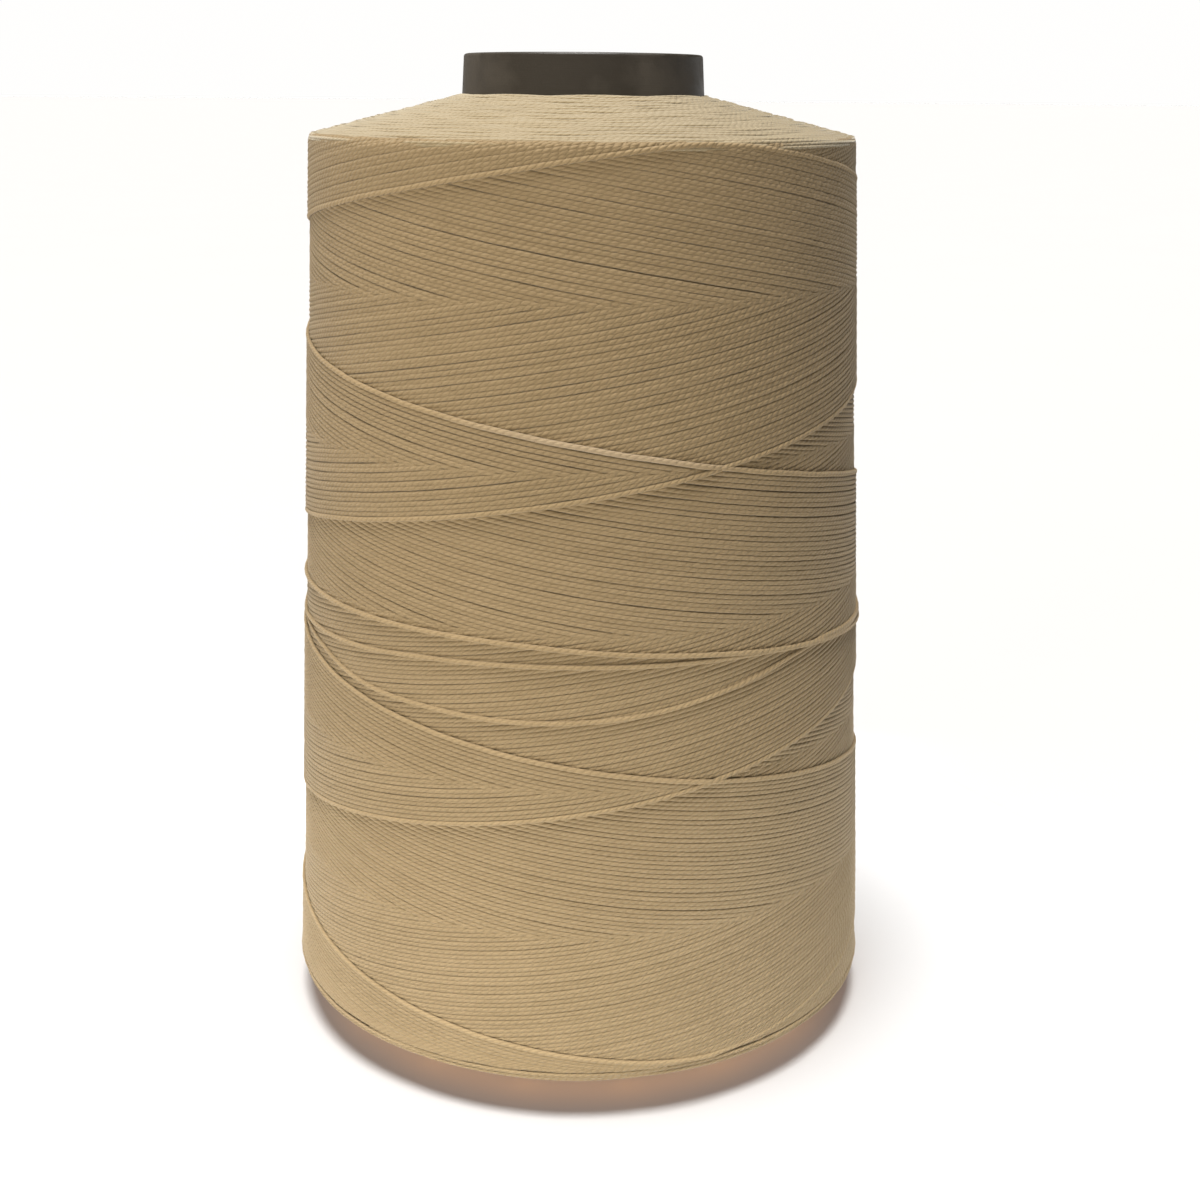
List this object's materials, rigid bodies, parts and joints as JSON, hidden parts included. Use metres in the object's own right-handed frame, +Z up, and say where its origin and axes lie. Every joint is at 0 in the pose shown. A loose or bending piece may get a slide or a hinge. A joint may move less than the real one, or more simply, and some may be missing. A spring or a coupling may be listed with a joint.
{
  "type": "cone of thread",
  "caption": "Cone of cross-wound beige thread on a tapered dark plastic tube, with a low conical shoulder and a through bore.",
  "frame": {"origin": "centre of the tube's wide end, on the surface it stands on", "axes": "+Z up along the tube's axis, -Y towards the front of the picture, +X to its right"},
  "size_m": [0.1068, 0.1071, 0.17],
  "materials": {
    "thread": "matt spun thread",
    "tube_plastic": "satin moulded"
  },
  "bodies": {
    "root": {"tube": "tube_plastic", "wound_thread": "thread"}
  },
  "joints": []
}
